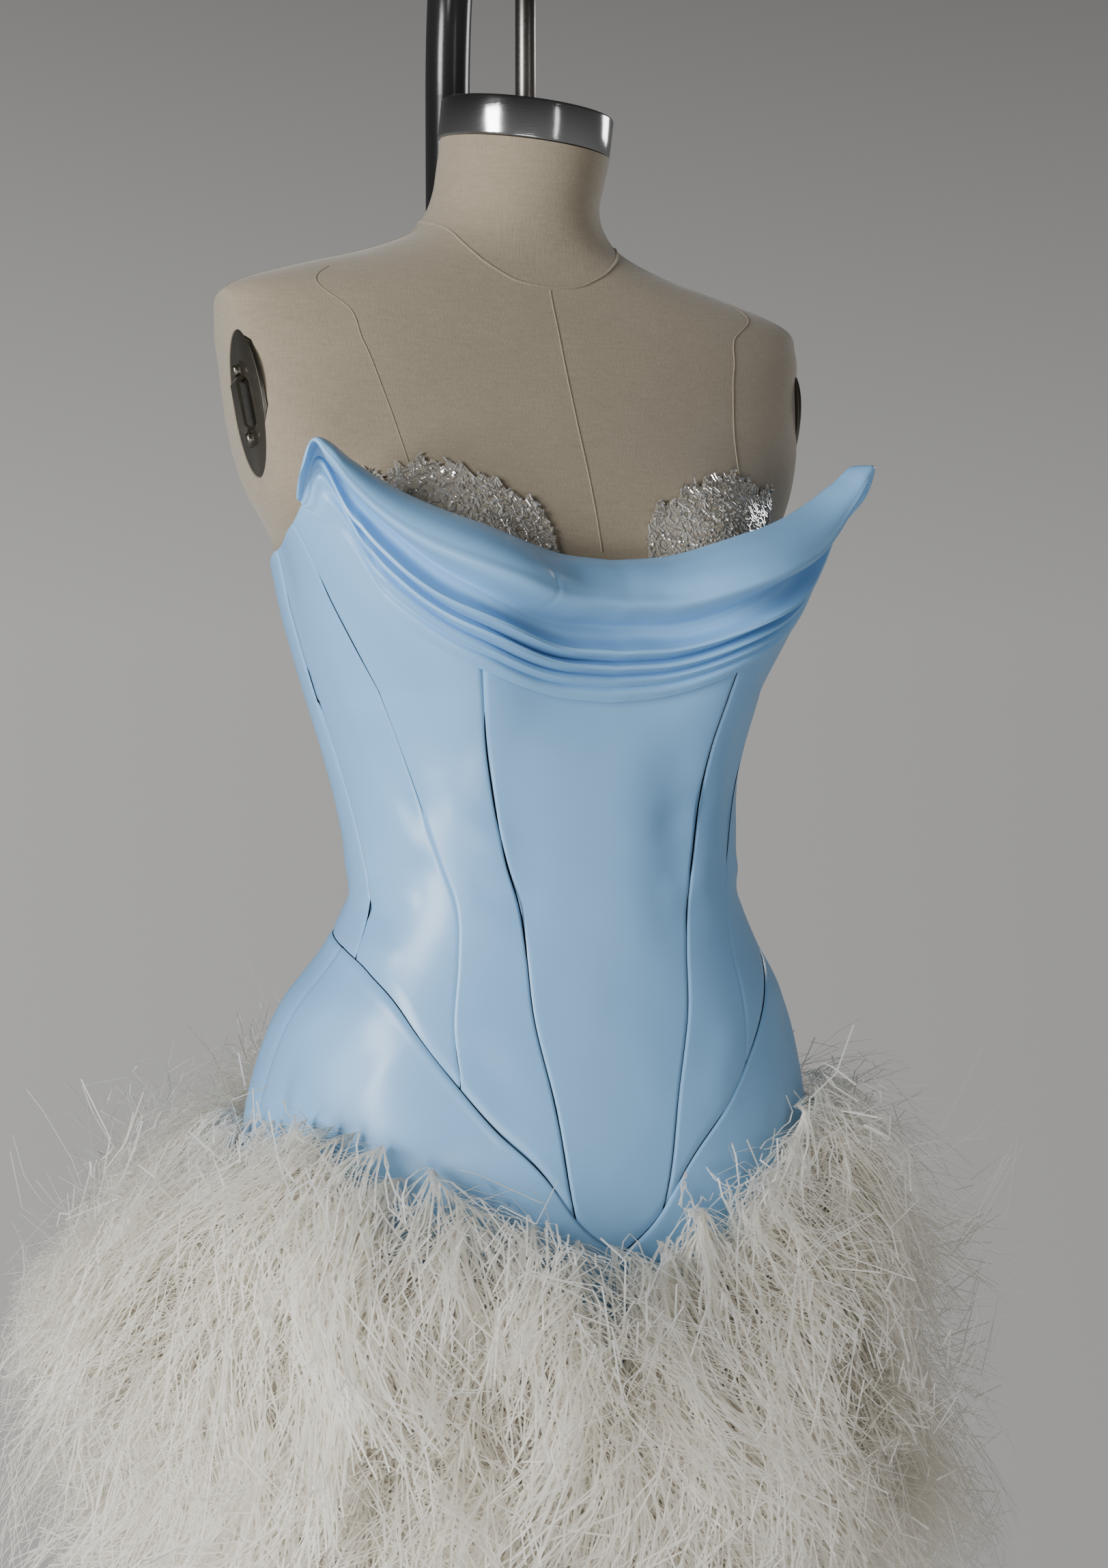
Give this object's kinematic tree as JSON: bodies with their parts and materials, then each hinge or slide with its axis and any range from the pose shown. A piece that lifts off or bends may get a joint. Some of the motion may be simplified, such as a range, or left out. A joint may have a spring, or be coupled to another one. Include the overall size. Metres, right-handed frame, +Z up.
{
  "type": "feather-trimmed corset mini dress on a limbless dress form with its stand",
  "caption": "Strapless satin corset mini dress with draped cowl, beaded lace and ostrich-feather skirt, on a linen dress form hung from a gooseneck stand",
  "frame": {"origin": "on the floor straight below the hanging rod and the centre of the neck cap", "axes": "+Z up, -Y is the front that the dress form faces, +X is the form's left side"},
  "size_m": [0.6367, 0.7213, 1.7896],
  "materials": {
    "linen": "plain-woven greige linen, matt",
    "brushed_steel": "round-brushed steel",
    "dark_steel": "dark polished steel rod",
    "black_paint": "gloss black powder coat",
    "blue_satin": "powder-blue duchess satin with a soft directional sheen",
    "beaded_lace": "greige net sewn over with silver beads and crystals",
    "ostrich_feather": "ivory ostrich barbs, soft and matt",
    "zip_metal": "blue-grey lacquered zip slider"
  },
  "bodies": {
    "main": {"form_body": "linen", "neck_cap": "brushed_steel", "arm_plate_right": "brushed_steel", "arm_plate_left": "brushed_steel", "hang_rod": "dark_steel", "stand_pole": "black_paint", "stand_gooseneck": "black_paint", "stand_base": "black_paint", "bodice_front_center": "blue_satin", "bodice_front_left": "blue_satin", "bodice_front_right": "blue_satin", "bodice_side_front_left": "blue_satin", "bodice_side_front_right": "blue_satin", "bodice_side_left": "blue_satin", "bodice_side_right": "blue_satin", "bodice_back_left": "blue_satin", "bodice_back_right": "blue_satin", "skirt_front": "blue_satin", "skirt_back_left": "blue_satin", "skirt_back_right": "blue_satin", "cowl": "blue_satin", "lace_left": "beaded_lace", "lace_right": "beaded_lace", "feather_tier_1": "ostrich_feather", "feather_tier_2": "ostrich_feather", "feather_tier_3": "ostrich_feather", "feather_tier_4": "ostrich_feather", "zip_slider": "zip_metal"},
    "pull": {"zip_pull": "zip_metal"}
  },
  "joints": [
    {"name": "pull_hinge", "type": "hinge", "parent": "main", "child": "pull", "pos_m": [0, 0.10566, 1.1966], "axis": [1, 0, 0], "range_deg": [0, 120]}
  ]
}
